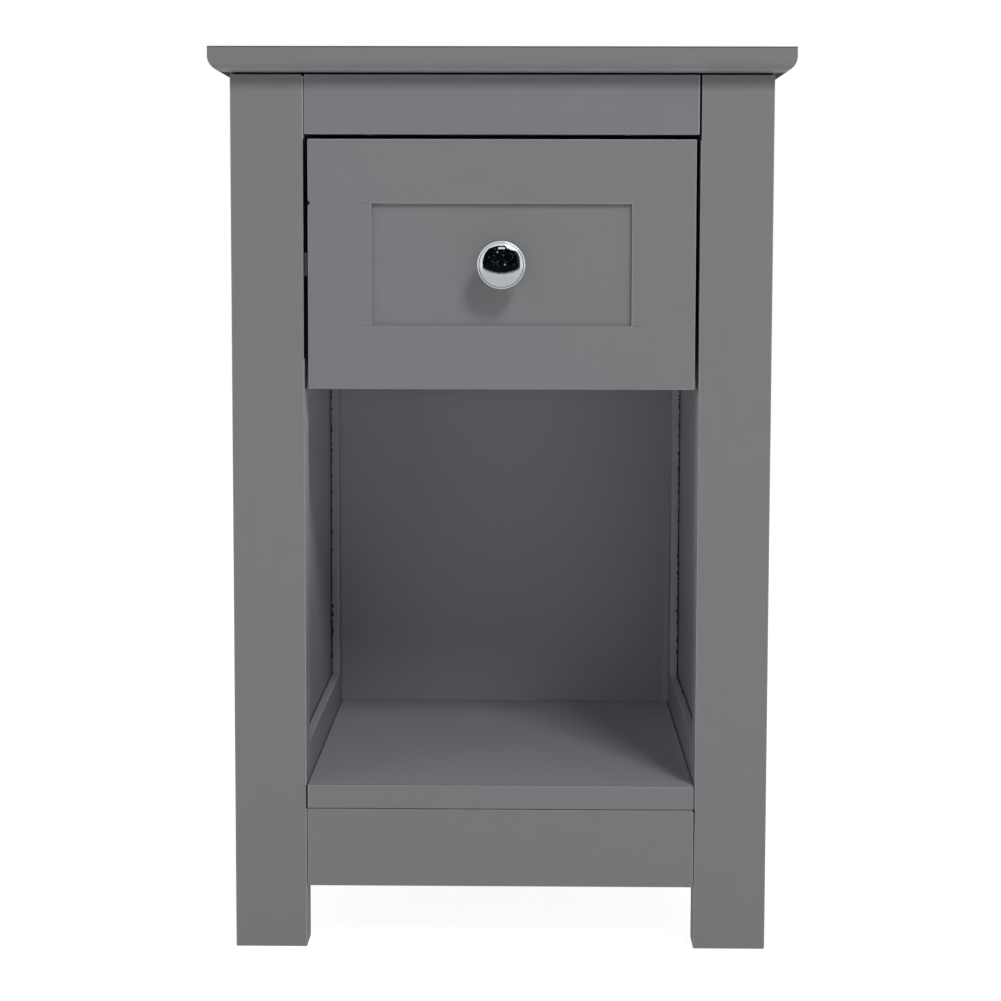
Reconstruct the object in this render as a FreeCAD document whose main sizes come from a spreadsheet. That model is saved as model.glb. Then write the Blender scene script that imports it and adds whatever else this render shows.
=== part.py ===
import FreeCAD, Part
import math
import os
import Sketcher

# A small bedside table: four flat legs, framed sides, one drawer on wooden runners and an open shelf below it.
# Millimetres, +Z up. The front faces -Y, +X is to the right as seen from the front.
# The origin is on the floor, in the middle of the outer box, which reaches from the knob to the back of the legs.

# The driving dimensions. Each is written once, in the sheet, and every piece is bound to the sheet's cells.
SIZES = {
    # The whole
    "height": 600,
    "carcass_depth": 288,
    "opening_width": 260,
    "side_overhang": 13,
    "front_overhang": 12,
    "arris": 0.8,
    # Top board, with its lower edge well rounded at the front and the sides
    "top_thickness": 16,
    "top_lower_round": 7,
    "top_upper_round": 1,
    # Legs, with a fine shadow line under the top board
    "leg_width": 48,
    "leg_thickness": 25,
    "shadow_line_height": 1.2,
    "shadow_line_depth": 3,
    # Side frames: rails between the front and back legs, with a panel let into them
    "side_rail_thickness": 25,
    "top_rail_height": 40,
    "foot_clearance": 42,
    "low_side_rail_height": 94,
    "side_panel_thickness": 12,
    "tongue": 8,
    "tongue_play": 0.5,
    "panel_groove_play": 0.8,
    # Cross rails between the two side frames
    "cross_rail_thickness": 16,
    "low_cross_rail_height": 53,
    "cross_rail_play": 0.4,
    # Shelf and back
    "shelf_thickness": 16,
    "shelf_play": 0.5,
    "back_panel_thickness": 3,
    "back_rebate": 8,
    "back_panel_inset": 6,
    # Drawer front: two rails, two stiles and a sunk panel
    "front_side_gap": 2.5,
    "front_top_gap": 3,
    "front_height": 164,
    "front_thickness": 16,
    "front_frame_width": 42,
    "front_panel_recess": 3,
    "front_panel_thickness": 6,
    # Drawer box
    "box_length": 250,
    "box_side_thickness": 12,
    "box_side_gap": 3.5,
    "box_foot_drop": 12,
    "box_top_drop": 16,
    "box_bottom_thickness": 3,
    "box_bottom_inset": 8,
    "box_bottom_groove": 5,
    "box_play": 0.3,
    # Runners, screwed to the legs and standing in grooves of the drawer sides, with a thin lip beside the front
    "runner_thickness": 8.5,
    "runner_height": 15.5,
    "runner_play": 0.3,
    "runner_groove_play": 0.5,
    "runner_front_gap": 1,
    "runner_screw_inset": 4,
    "runner_lip_thickness": 1.9,
    "runner_lip_inset": 3.5,
    # Stop pegs, which limit the drawer's travel at the front cross rail
    "drawer_travel": 190,
    "stop_peg_radius": 3,
    "stop_peg_height": 24,
    "stop_peg_sunk": 12,
    "stop_peg_clearance": 0.5,
    # Knob
    "knob_reach": 25,
    "knob_base_radius": 8.5,
    "knob_base_thickness": 2,
    "knob_foot_radius": 6.5,
    "knob_neck_radius": 5.5,
    "knob_neck_height": 10,
    "knob_flare_radius": 13.5,
    "knob_head_radius": 15.5,
    "knob_head_rise": 6,
    "knob_rim_round": 1,
    "knob_dome_radius": 20,
    "knob_bore_depth": 12,
    "knob_screw_radius": 2,
    "knob_screw_grip": 10,
    "knob_screw_head_radius": 4,
    "knob_screw_head_height": 2.5,
    # Dowels
    "hole_play": 0.1,
    "hole_end_play": 0.5,
    "thick_dowel_radius": 4,
    "thick_dowel_in_leg": 10,
    "thick_dowel_in_rail": 20,
    "top_rail_dowel_spacing": 16,
    "low_rail_dowel_spacing": 50,
    "thin_dowel_radius": 3,
    "thin_dowel_half": 15,
    "top_cross_dowel_spacing": 20,
    "low_cross_dowel_spacing": 26,
    "shelf_dowel_in_shelf": 9,
    "shelf_dowel_in_rail": 15,
    "shelf_dowel_spacing": 160,
    "box_dowel_in_front": 10,
    "box_dowel_in_side": 14,
    "box_low_dowel_rise": 16.5,
    "box_high_dowel_drop": 12,
    # Screws
    "screw_radius": 1.75,
    "screw_head_radius": 3.4,
    "screw_head_height": 2,
    "runner_screw_length": 14,
    "box_screw_length": 30,
    "box_screw_spacing": 70,
    "top_screw_length": 34,
    "top_screw_well_depth": 15,
    "top_screw_well_radius": 4.5,
    "top_screw_spacing": 85,
    # Panel pins
    "pin_radius": 0.75,
    "pin_head_radius": 1.5,
    "pin_head_height": 0.8,
    "pin_length": 13,
    "back_pin_edge": 4,
    "back_pin_rail_spacing": 100,
    "back_pin_leg_spacing": 150,
    "box_pin_spacing": 85,
}

doc = FreeCAD.newDocument("nightstand")
sheet = doc.addObject("Spreadsheet::Sheet", "Sizes")
for row, (alias, value) in enumerate(SIZES.items(), 1):
    sheet.set(f"A{row}", alias)
    sheet.set(f"B{row}", str(value))
    sheet.setAlias(f"B{row}", alias)
doc.recompute()

# Two places this close are the same place
SNUG = 0.001

X = FreeCAD.Vector(1, 0, 0)
Y = FreeCAD.Vector(0, 1, 0)
Z = FreeCAD.Vector(0, 0, 1)
SIDES = {"left": -1, "right": 1}


class Ex:
    """A length worked out from the sheet's cells, kept as the text of an expression."""

    def __init__(self, text):
        self.text = str(text)

    def __add__(self, other):
        return Ex(f"({self.text} + {Ex.of(other).text})")

    def __sub__(self, other):
        return Ex(f"({self.text} - {Ex.of(other).text})")

    def __mul__(self, other):
        return Ex(f"({self.text} * {Ex.of(other).text})")

    def __truediv__(self, other):
        return Ex(f"({self.text} / {Ex.of(other).text})")

    def __neg__(self):
        return Ex(f"(0 - {self.text})")

    @staticmethod
    def of(value):
        return value if isinstance(value, Ex) else Ex(value)


class Cells:
    """The sheet's cells by name, each as an expression."""

    def __getattr__(self, alias):
        if alias not in SIZES:
            raise AttributeError(alias)
        return Ex(f"Sizes.{alias}")


s = Cells()
nodes = []


def bind(thing, **properties):
    """Ties properties of a document object to expressions."""
    for name, value in properties.items():
        thing.setExpression(name, Ex.of(value).text)
    return thing


def put(thing, at, axis=None):
    """Places a document object, with its own Z turned to the axis."""
    if axis is not None:
        turn = FreeCAD.Rotation(Z, axis)
        thing.Placement = FreeCAD.Placement(FreeCAD.Vector(), turn)
    for letter, place in zip("xyz", at):
        thing.setExpression(f"Placement.Base.{letter}", Ex.of(place).text)
    return thing


def step(point, axis, length):
    """The point one length further along the axis."""
    return [Ex.of(p) + Ex.of(length) * a if a else Ex.of(p) for p, a in zip(point, axis)]


def plane(body, role):
    """One of a body's own origin planes."""
    return next(f for f in body.Origin.OriginFeatures if f.Role == role)


class Board:
    """A board between two corners, with grooves and holes given in the nightstand's own frame."""

    def __init__(self, label, low, high, ease=True):
        self.label = label
        self.low = [Ex.of(v) for v in low]
        self.high = [Ex.of(v) for v in high]
        self.body = doc.addObject("PartDesign::Body", label)
        self.body.Label = label
        put(self.body, self.low)
        wide, deep, tall = (b - a for a, b in zip(self.low, self.high))
        outline = self.rectangle(wide, deep)
        self.tip = self.feature("Pad", "sawn")
        self.tip.Profile = outline
        bind(self.tip, Length=tall)
        nodes.append(self.body)
        if ease:
            self.round(s.arris)

    def feature(self, kind, name):
        return self.body.newObject(f"PartDesign::{kind}", f"{self.label}_{name}")

    def rectangle(self, wide, deep):
        """The board's outline, from its own corner, on its own ground plane."""
        sketch = self.body.newObject("Sketcher::SketchObject", f"{self.label}_outline")
        sketch.AttachmentSupport = [(plane(self.body, "XY_Plane"), "")]
        sketch.MapMode = "FlatFace"
        corners = [FreeCAD.Vector(), X, X + Y, Y]
        for start, end in zip(corners, corners[1:] + corners[:1]):
            sketch.addGeometry(Part.LineSegment(start, end), False)
        for line in range(4):
            sketch.addConstraint(Sketcher.Constraint("Coincident", line, 2, (line + 1) % 4, 1))
        for line, kind in enumerate(["Horizontal", "Vertical", "Horizontal", "Vertical"]):
            sketch.addConstraint(Sketcher.Constraint(kind, line))
        sketch.addConstraint(Sketcher.Constraint("Coincident", 0, 1, -1, 1))
        for kind, line, name, size in (("DistanceX", 0, "wide", wide), ("DistanceY", 1, "deep", deep)):
            number = sketch.addConstraint(Sketcher.Constraint(kind, line, 1, line, 2, 1))
            sketch.renameConstraint(number, name)
            sketch.setExpression(f"Constraints.{name}", size.text)
        return sketch

    def round(self, radius, chosen=None, name="eased"):
        """Rounds the edges that a test picks by their middle point, or all of them."""
        self.tip.recompute(True)
        edges = self.tip.Shape.Edges
        picked = [i for i, e in enumerate(edges, 1) if chosen is None or chosen(e)]
        base = self.tip
        self.tip = self.feature("Fillet", name)
        self.tip.Base = (base, [f"Edge{i}" for i in picked])
        bind(self.tip, Radius=radius)

    def ease_outside(self, side):
        """Rounds the edges round one side, and leaves the ones at the joints with other boards sharp."""
        self.tip.recompute(True)
        box = self.tip.Shape.BoundBox

        def lies_outside(edge):
            middle = edge.BoundBox.Center
            if side in SIDES:
                end = box.XMin if side == "left" else box.XMax
                return math.isclose(middle.x, end, abs_tol=SNUG) and edge.BoundBox.ZLength > SNUG
            end = box.ZMin if side == "top" else box.ZMax
            return not math.isclose(middle.z, end, abs_tol=SNUG)

        self.round(s.arris, lies_outside)

    def local(self, point):
        return [Ex.of(p) - l for p, l in zip(point, self.low)]

    def box(self, kind, name, low, high):
        box = self.feature(kind, name)
        length, width, height = (Ex.of(b) - a for a, b in zip(low, high))
        bind(box, Length=length, Width=width, Height=height)
        self.tip = put(box, self.local(low))

    def cut_box(self, name, low, high):
        """A groove, rebate or recess between two corners."""
        self.box("SubtractiveBox", name, low, high)

    def add_box(self, name, low, high):
        """A lip or tenon between two corners."""
        self.box("AdditiveBox", name, low, high)

    def shadow_line(self, names):
        """Steps the named upper edges back, so that they stand a little below the top board, and eases the rest."""
        low, high = self.low, self.high
        line_low = high[2] - s.shadow_line_height
        depth = s.shadow_line_depth
        strips = {
            "front": ([low[0], low[1], line_low], [high[0], low[1] + depth, high[2]]),
            "left": ([low[0], low[1], line_low], [low[0] + depth, high[1], high[2]]),
            "right": ([high[0] - depth, low[1], line_low], high),
        }
        for name in names:
            self.cut_box(f"shadow_line_{name}", *strips[name])
        self.tip.recompute(True)
        box = self.tip.Shape.BoundBox
        step_height = SIZES["shadow_line_height"]

        def stands_proud(edge):
            middle = edge.BoundBox.Center
            at_step = math.isclose(middle.z, box.ZMax - step_height, abs_tol=SNUG)
            outside = any(
                math.isclose(at, end, abs_tol=SNUG)
                for at, end in ((middle.x, box.XMin), (middle.x, box.XMax), (middle.y, box.YMin))
            )
            return edge.Length > step_height * 3 and (outside or not at_step)

        self.round(s.arris, stands_proud)

    def drill(self, name, point, axis, radius, length):
        """A round hole from a point along an axis."""
        hole = self.feature("SubtractiveCylinder", name)
        bind(hole, Radius=radius, Height=length)
        self.tip = put(hole, self.local(point), axis)

    def countersink(self, name, point, axis, wide, narrow, depth):
        """The seat of a screw's head, wide at the point."""
        seat = self.feature("SubtractiveCone", name)
        bind(seat, Radius1=wide, Radius2=narrow, Height=depth)
        self.tip = put(seat, self.local(point), axis)


def rod(name, point, axis, radius, length):
    """A plain round pin."""
    thing = doc.addObject("Part::Cylinder", name)
    bind(thing, Radius=radius, Height=length)
    return put(thing, point, axis)


def joined(name, shapes):
    """One solid out of shapes that meet."""
    thing = doc.addObject("Part::MultiFuse", name)
    thing.Shapes = shapes
    return thing


def group(label, things):
    """Like fasteners as one node of separate solids."""
    node = doc.addObject("Part::Compound", label)
    node.Label = label
    node.Links = things
    nodes.append(node)
    return node


def dowel(name, boards, point, axis, radius, behind, ahead):
    """A dowel across the joint at a point, with its hole in both boards."""
    hole_start = step(point, axis, -(behind + s.hole_end_play))
    hole_length = behind + ahead + s.hole_end_play * 2
    for board in boards:
        board.drill(f"for_{name}", hole_start, axis, radius + s.hole_play, hole_length)
    return rod(name, step(point, axis, -behind), axis, radius, behind + ahead)


def screw(name, boards, point, axis, length, well=None):
    """A countersunk screw, its head's face at the point in the first board and its tip in the last."""
    if well is not None:
        boards[0].drill(f"well_{name}", step(point, axis, -well), axis, s.top_screw_well_radius, well)
    head_radius = s.screw_head_radius
    boards[0].countersink(
        f"seat_{name}",
        point,
        axis,
        head_radius + s.hole_play,
        s.screw_radius + s.hole_play,
        s.screw_head_height + s.hole_play,
    )
    for board in boards:
        board.drill(f"for_{name}", point, axis, s.screw_radius + s.hole_play, length + s.hole_end_play)
    head = doc.addObject("Part::Cone", f"{name}_head")
    bind(head, Radius1=head_radius, Radius2=s.screw_radius, Height=s.screw_head_height)
    put(head, point, axis)
    return joined(name, [head, rod(f"{name}_shank", point, axis, s.screw_radius, length)])


def pin(name, boards, point, axis):
    """A panel pin, its head sunk flush at the point in the first board."""
    boards[0].drill(
        f"seat_{name}", point, axis, s.pin_head_radius + s.hole_play, s.pin_head_height + s.hole_play
    )
    for board in boards:
        board.drill(f"for_{name}", point, axis, s.pin_radius + s.hole_play, s.pin_length + s.hole_end_play)
    head = rod(f"{name}_head", point, axis, s.pin_head_radius, s.pin_head_height)
    return joined(name, [head, rod(f"{name}_shank", point, axis, s.pin_radius, s.pin_length)])


def across(side, near, far):
    """The low and high X of what lies between two distances from the middle, on one side."""
    return (near, far) if side > 0 else (-far, -near)


# Places that several pieces share
front = (s.knob_reach - s.carcass_depth) / 2
back = front + s.carcass_depth
inner = s.opening_width / 2
outer = inner + s.leg_width
leg_top = s.height - s.top_thickness
top_rail_low = leg_top - s.top_rail_height
low_side_rail_top = s.foot_clearance + s.low_side_rail_height
shelf_low = s.foot_clearance + s.low_cross_rail_height
shelf_top = shelf_low + s.shelf_thickness
front_leg_back = front + s.leg_thickness
back_leg_front = back - s.leg_thickness
back_panel_front = back - s.back_panel_thickness
rail_middle = inner + s.side_rail_thickness / 2
side_panel_near = rail_middle - s.side_panel_thickness / 2
side_panel_far = rail_middle + s.side_panel_thickness / 2
tongue_room = s.tongue + s.tongue_play
cross_middle_front = front + s.cross_rail_thickness / 2
cross_middle_back = back_panel_front - s.cross_rail_thickness / 2

# Places in the drawer
front_top = top_rail_low - s.front_top_gap
front_low = front_top - s.front_height
front_half = inner - s.front_side_gap
front_back = front + s.front_thickness
front_middle = (front_low + front_top) / 2
panel_half = front_half - s.front_frame_width
panel_face = front + s.front_panel_recess
panel_back = panel_face + s.front_panel_thickness
box_outer = inner - s.box_side_gap
box_inner = box_outer - s.box_side_thickness
box_middle = box_outer - s.box_side_thickness / 2
box_low = front_low + s.box_foot_drop
box_high = front_top - s.box_top_drop
box_end = front_back + s.box_length
box_bottom_low = box_low + s.box_bottom_inset
box_bottom_top = box_bottom_low + s.box_bottom_thickness


def make_top():
    """The top board, with a sharp upper arris and a well rounded lower edge that stops at the back."""
    low = [-(outer + s.side_overhang), front - s.front_overhang, leg_top]
    high = [outer + s.side_overhang, back, s.height]
    board = Board("top_board", low, high, ease=False)
    doc.recompute()
    box = board.tip.Shape.BoundBox

    def lies_low(edge):
        middle = edge.BoundBox.Center
        return math.isclose(middle.z, box.ZMin) and not math.isclose(middle.y, box.YMax)

    board.round(s.top_lower_round, lies_low, "lower_edge")
    board.round(s.top_upper_round, lambda e: math.isclose(e.BoundBox.ZMin, box.ZMax), "upper_edge")
    return board


def make_leg(name, word, low_y, high_y, lines):
    """A flat post from the floor to the top board."""
    low_x, high_x = across(SIDES[word], inner, outer)
    leg = Board(name, [low_x, low_y, 0], [high_x, high_y, leg_top], ease=False)
    leg.shadow_line(lines)
    return leg


def make_side(word, side):
    """One framed side: its legs, its rails and its panel."""
    front_leg = make_leg(f"front_leg_{word}", word, front, front_leg_back, ["front", word])
    back_leg = make_leg(f"back_leg_{word}", word, back_leg_front, back, [word])
    low_x, high_x = across(side, inner, inner + s.side_rail_thickness)
    top_rail = Board(
        f"top_side_rail_{word}", [low_x, front_leg_back, top_rail_low], [high_x, back_leg_front, leg_top]
    )
    low_rail = Board(
        f"low_side_rail_{word}",
        [low_x, front_leg_back, s.foot_clearance],
        [high_x, back_leg_front, low_side_rail_top],
    )
    panel_low_x, panel_high_x = across(side, side_panel_near, side_panel_far)
    panel_low = [panel_low_x, front_leg_back - s.tongue, low_side_rail_top - s.tongue]
    panel_high = [panel_high_x, back_leg_front + s.tongue, top_rail_low + s.tongue]
    Board(f"side_panel_{word}", panel_low, panel_high, ease=False)
    groove_low_x, groove_high_x = across(side, side_panel_near - s.panel_groove_play, side_panel_far)
    for board in (front_leg, back_leg, top_rail, low_rail):
        board.cut_box(
            "panel_groove",
            [groove_low_x, front_leg_back - tongue_room, low_side_rail_top - tongue_room],
            [groove_high_x, back_leg_front + tongue_room, top_rail_low + tongue_room],
        )
    return front_leg, back_leg, top_rail, low_rail


def side_dowels(word, side, front_leg, back_leg, top_rail, low_rail):
    """The thick dowels that hold the side rails between the legs."""
    top_middle = (top_rail_low + tongue_room + leg_top) / 2
    low_middle = (s.foot_clearance + low_side_rail_top - tongue_room) / 2
    rails = (
        ("top", top_rail, top_middle, s.top_rail_dowel_spacing),
        ("low", low_rail, low_middle, s.low_rail_dowel_spacing),
    )
    ends = (("front", front_leg, front_leg_back, Y), ("back", back_leg, back_leg_front, -Y))
    made = []
    for rail_name, rail, middle, spacing in rails:
        for end_name, leg, joint, axis in ends:
            for place, share in (("lower", -1), ("upper", 1)):
                name = f"{word}_{rail_name}_{end_name}_{place}_dowel"
                point = [rail_middle * side, joint, middle + spacing * share / 2]
                made.append(
                    dowel(
                        name,
                        [leg, rail],
                        point,
                        axis,
                        s.thick_dowel_radius,
                        s.thick_dowel_in_leg,
                        s.thick_dowel_in_rail,
                    )
                )
    return made


def make_cross_rail(name, low_y, low_z, high_z, ease=True):
    half = inner - s.cross_rail_play
    return Board(name, [-half, low_y, low_z], [half, low_y + s.cross_rail_thickness, high_z], ease)


def cross_dowels(name, rail, legs, y, low_z, high_z, spacing):
    """The thin dowels at both ends of one cross rail."""
    made = []
    for word, side in SIDES.items():
        for place, share in (("lower", -1), ("upper", 1)):
            point = [inner * side, y, (low_z + high_z) / 2 + spacing * share / 2]
            made.append(
                dowel(
                    f"{name}_{word}_{place}_dowel",
                    [rail, legs[word]],
                    point,
                    X * side,
                    s.thin_dowel_radius,
                    s.thin_dowel_half,
                    s.thin_dowel_half,
                )
            )
    return made


def make_carcass():
    """Everything that stands still."""
    top = make_top()
    sides = {word: make_side(word, side) for word, side in SIDES.items()}
    front_legs = {word: boards[0] for word, boards in sides.items()}
    back_legs = {word: boards[1] for word, boards in sides.items()}
    thick = []
    for word, side in SIDES.items():
        thick += side_dowels(word, side, *sides[word])
    group("side_rail_dowels", thick)

    back_rail_front = back_panel_front - s.cross_rail_thickness
    top_front = make_cross_rail("top_front_rail", front, top_rail_low, leg_top, ease=False)
    top_front.shadow_line(["front"])
    top_back = make_cross_rail("top_back_rail", back_rail_front, top_rail_low, leg_top)
    apron = make_cross_rail("front_apron", front, s.foot_clearance, shelf_low)
    low_back = make_cross_rail("low_back_rail", back_rail_front, s.foot_clearance, shelf_low)
    high = (top_rail_low, leg_top, s.top_cross_dowel_spacing)
    low = (s.foot_clearance, shelf_low, s.low_cross_dowel_spacing)
    thin = cross_dowels("top_front", top_front, front_legs, cross_middle_front, *high)
    thin += cross_dowels("top_back", top_back, back_legs, cross_middle_back, *high)
    thin += cross_dowels("apron", apron, front_legs, cross_middle_front, *low)
    thin += cross_dowels("low_back", low_back, back_legs, cross_middle_back, *low)
    group("cross_rail_dowels", thin)

    half = inner - s.shelf_play
    shelf = Board("shelf", [-half, front, shelf_low], [half, back_panel_front, shelf_top])
    pegs = []
    for name, rail, y in (("front", apron, cross_middle_front), ("back", low_back, cross_middle_back)):
        for word, side in SIDES.items():
            point = [s.shelf_dowel_spacing * side / 2, y, shelf_low]
            reach = (s.shelf_dowel_in_rail, s.shelf_dowel_in_shelf)
            pegs.append(dowel(f"shelf_{name}_{word}", [rail, shelf], point, Z, s.thin_dowel_radius, *reach))
    group("shelf_dowels", pegs)

    screws = []
    for name, rail, y in (("front", top_front, cross_middle_front), ("back", top_back, cross_middle_back)):
        for word, side in SIDES.items():
            point = [s.top_screw_spacing * side, y, top_rail_low + s.top_screw_well_depth]
            length, well = s.top_screw_length, s.top_screw_well_depth
            screws.append(screw(f"top_screw_{name}_{word}", [rail, top], point, Z, length, well))
    group("top_screws", screws)
    make_back(back_legs, top_back, low_back)
    make_runners(front_legs, back_legs)


def make_back(legs, top_rail, low_rail):
    """The thin back panel, let into the back legs and pinned to them and to the back rails."""
    half = inner + s.back_rebate
    low_z = s.foot_clearance + s.back_panel_inset
    high_z = leg_top - s.back_panel_inset
    low, high = [-half, back_panel_front, low_z], [half, back, high_z]
    panel = Board("back_panel", low, high, ease=False)
    for word, side in SIDES.items():
        low_x, high_x = across(side, inner, half + s.tongue_play)
        legs[word].cut_box(
            "back_rebate",
            [low_x, back_panel_front, low_z - s.tongue_play],
            [high_x, back, high_z + s.tongue_play],
        )
    pins = []
    for name, rail, z in (
        ("top", top_rail, (top_rail_low + leg_top) / 2),
        ("low", low_rail, (s.foot_clearance + shelf_low) / 2),
    ):
        for place in (-1, 0, 1):
            point = [s.back_pin_rail_spacing * place, back, z]
            pins.append(pin(f"{name}_pin_{place + 2}", [panel, rail], point, -Y))
    for word, side in SIDES.items():
        for place in (-1, 0, 1):
            x = (half - s.back_pin_edge) * side
            point = [x, back, (low_z + high_z) / 2 + s.back_pin_leg_spacing * place]
            pins.append(pin(f"{word}_pin_{place + 2}", [panel, legs[word]], point, -Y))
    group("back_panel_pins", pins)


def make_runners(front_legs, back_legs):
    """The wooden runners, which reach from behind the drawer front to the back panel."""
    start = front_back + s.runner_front_gap
    end = back_panel_front - s.runner_front_gap
    low_z, high_z = front_middle - s.runner_height / 2, front_middle + s.runner_height / 2
    screws = []
    for word, side in SIDES.items():
        low_x, high_x = across(side, inner - s.runner_thickness, inner)
        runner = Board(f"drawer_runner_{word}", [low_x, start, low_z], [high_x, end, high_z])
        lip_low_x, lip_high_x = across(side, inner - s.runner_lip_thickness, inner)
        lip_start = front + s.runner_lip_inset
        lip = [[lip_low_x, lip_start, low_z], [lip_high_x, start + s.arris, high_z]]
        runner.add_box("lip", *lip)
        x = (inner - s.runner_thickness) * side
        places = (
            ("front", front_legs[word], start + s.runner_screw_inset),
            ("back", back_legs[word], back_leg_front + s.leg_thickness / 2),
        )
        for name, leg, y in places:
            point = [x, y, front_middle]
            screws.append(
                screw(f"runner_{word}_{name}", [runner, leg], point, X * side, s.runner_screw_length)
            )
    group("runner_screws", screws)


def make_drawer_front():
    """Two full rails with two stiles between them, grooved for the sunk panel."""
    rails = {}
    heights = {
        "top": (front_top - s.front_frame_width, front_top),
        "low": (front_low, front_low + s.front_frame_width),
    }
    for name, (low_z, high_z) in heights.items():
        low, high = [-front_half, front, low_z], [front_half, front_back, high_z]
        rails[name] = Board(f"drawer_front_{name}_rail", low, high, ease=False)
        rails[name].ease_outside(name)
    inside_low = heights["low"][1]
    inside_high = heights["top"][0]
    stiles = {}
    for word, side in SIDES.items():
        low_x, high_x = across(side, panel_half, front_half)
        low, high = [low_x, front, inside_low], [high_x, front_back, inside_high]
        stiles[word] = Board(f"drawer_front_stile_{word}", low, high, ease=False)
        stiles[word].ease_outside(word)
        for end, start in (("low", inside_low - s.tongue), ("high", inside_high - s.arris)):
            stiles[word].add_box(
                f"{end}_tenon",
                [low_x + s.arris, panel_face, start],
                [high_x - s.arris, panel_back, start + s.tongue + s.arris],
            )
    for board in list(rails.values()) + list(stiles.values()):
        board_rail = board in rails.values()
        half = front_half if board_rail else panel_half + tongue_room
        board.cut_box(
            "panel_groove",
            [-half, panel_face, inside_low - tongue_room],
            [half, panel_back, inside_high + tongue_room],
        )
    reach = panel_half + s.tongue
    low = [-reach, panel_face, inside_low - s.tongue]
    high = [reach, panel_back, inside_high + s.tongue]
    panel = Board("drawer_front_panel", low, high, ease=False)
    return rails, panel


def make_drawer_box(rails):
    """Sides, back and bottom, dowelled to the drawer front."""
    front_groove = s.box_bottom_groove + s.box_play
    bottom_half = box_inner + s.box_bottom_groove
    bottom_low = [-bottom_half, front_back - s.box_bottom_groove, box_bottom_low]
    bottom = Board("drawer_bottom", bottom_low, [bottom_half, box_end, box_bottom_top], ease=False)
    groove_half = bottom_half + s.box_play
    groove_low = [-groove_half, front_back - front_groove, box_bottom_low]
    groove_high = [groove_half, box_end, box_bottom_top]
    rails["low"].cut_box("bottom_groove", groove_low, groove_high)

    low = [-box_inner, box_end - s.box_side_thickness, box_bottom_top]
    rear = Board("drawer_back", low, [box_inner, box_end, box_high])

    runner_half = s.runner_height / 2 + s.runner_play
    runner_face = inner - s.runner_thickness - s.runner_groove_play
    joints, screws, pegs = [], [], []
    for word, side in SIDES.items():
        low_x, high_x = across(side, box_inner, box_outer)
        board = Board(f"drawer_side_{word}", [low_x, front_back, box_low], [high_x, box_end, box_high])
        board.cut_box("bottom_groove", groove_low, groove_high)
        near_x, far_x = across(side, runner_face, box_outer)
        board.cut_box(
            "runner_groove",
            [near_x, front_back, front_middle - runner_half],
            [far_x, box_end, front_middle + runner_half],
        )
        heights = (
            ("low", rails["low"], box_low + s.box_low_dowel_rise),
            ("top", rails["top"], box_high - s.box_high_dowel_drop),
        )
        for name, rail, z in heights:
            point = [box_middle * side, front_back, z]
            reach = (s.box_dowel_in_front, s.box_dowel_in_side)
            joints.append(dowel(f"box_{word}_{name}", [rail, board], point, Y, s.thin_dowel_radius, *reach))
        for name, share in (("lower", -1), ("upper", 1)):
            z = front_middle + s.box_screw_spacing * share / 2
            point = [box_outer * side, box_end - s.box_side_thickness / 2, z]
            screws.append(
                screw(f"box_{word}_{name}_screw", [board, rear], point, X * -side, s.box_screw_length)
            )
        stop_y = front + s.cross_rail_thickness + s.drawer_travel + s.stop_peg_clearance + s.stop_peg_radius
        point = [box_middle * side, stop_y, box_high]
        hole_start = step(point, Z, -(s.stop_peg_sunk + s.hole_end_play))
        hole_length = s.stop_peg_sunk + s.hole_end_play
        board.drill("for_stop_peg", hole_start, Z, s.stop_peg_radius + s.hole_play, hole_length)
        peg_length = s.stop_peg_sunk + s.stop_peg_height
        start = step(point, Z, -s.stop_peg_sunk)
        pegs.append(rod(f"stop_peg_{word}", start, Z, s.stop_peg_radius, peg_length))
    group("drawer_front_dowels", joints)
    group("drawer_back_screws", screws)
    group("drawer_stop_pegs", pegs)

    pins = []
    for place in (-1, 0, 1):
        point = [s.box_pin_spacing * place, box_end - s.box_side_thickness / 2, box_bottom_low]
        pins.append(pin(f"box_pin_{place + 2}", [bottom, rear], point, Z))
    group("drawer_bottom_pins", pins)


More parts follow.
